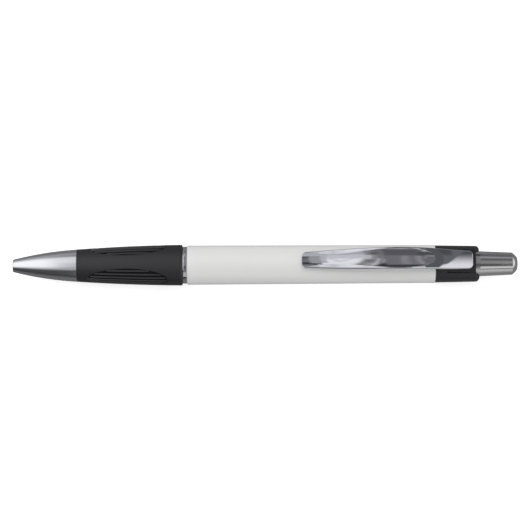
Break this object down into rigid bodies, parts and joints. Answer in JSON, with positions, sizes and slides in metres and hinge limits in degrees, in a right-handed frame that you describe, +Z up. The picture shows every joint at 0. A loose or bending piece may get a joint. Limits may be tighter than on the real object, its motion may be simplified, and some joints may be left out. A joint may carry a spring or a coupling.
{
  "type": "ballpoint pen",
  "caption": "Click ballpoint pen: metal nose, ribbed rubber grip, pale barrel, dark end cap, bowed pocket clip and push button.",
  "frame": {"origin": "bottom centre of the bounding box, on the surface that the pen lies on", "axes": "+X along the pen towards the push button, +Z up through the clip, +Y across the pen"},
  "size_m": [0.14, 0.0112, 0.0148],
  "materials": {
    "nose_cone": "satin chrome plate",
    "grip_core": "moulded",
    "rubber_grip": "soft matte rubber",
    "centre_ring": "polished plate",
    "barrel": "moulded, satin gloss",
    "end_cap": "moulded, satin",
    "clip": "mirror plate",
    "cam_guide": "moulded",
    "push_button": "polished plate",
    "drive_cam": "moulded",
    "cam_rotor": "moulded",
    "refill_tube": "extruded, translucent",
    "ink_column": "ink",
    "point_holder": "moulded",
    "writing_point": "turned nickel silver",
    "writing_ball": "ground",
    "refill_spring": "drawn wire"
  },
  "bodies": {
    "housing": {"nose_cone": "nose_cone", "grip_core": "grip_core", "rubber_grip": "rubber_grip", "centre_ring": "centre_ring", "barrel": "barrel", "end_cap": "end_cap", "clip": "clip", "cam_guide": "cam_guide", "refill_spring": "refill_spring"},
    "button": {"push_button": "push_button", "drive_cam": "drive_cam"},
    "rotor": {"cam_rotor": "cam_rotor"},
    "refill": {"refill_tube": "refill_tube", "ink_column": "ink_column", "point_holder": "point_holder", "writing_point": "writing_point"},
    "ball": {"writing_ball": "writing_ball"}
  },
  "joints": [
    {"name": "button_press", "type": "slide", "parent": "housing", "child": "button", "axis": [-1, 0, 0], "range_m": [0, 0.0065], "stiffness_N_per_m": 380, "springref_m": -0.005},
    {"name": "rotor_slide", "type": "slide", "parent": "housing", "child": "rotor", "axis": [-1, 0, 0], "range_m": [0, 0.0065]},
    {"name": "refill_slide", "type": "slide", "parent": "housing", "child": "refill", "axis": [-1, 0, 0], "range_m": [0, 0.0065], "deforming": ["refill_spring"]},
    {"name": "ball_roll", "type": "hinge", "parent": "refill", "child": "ball", "pos_m": [-0.067, 0, 0.00565], "axis": [0, 1, 0], "continuous": true}
  ],
  "couplings": [
    {"joint": "rotor_slide", "follows": "button_press", "ratio": 1},
    {"joint": "refill_slide", "follows": "button_press", "ratio": 1}
  ]
}
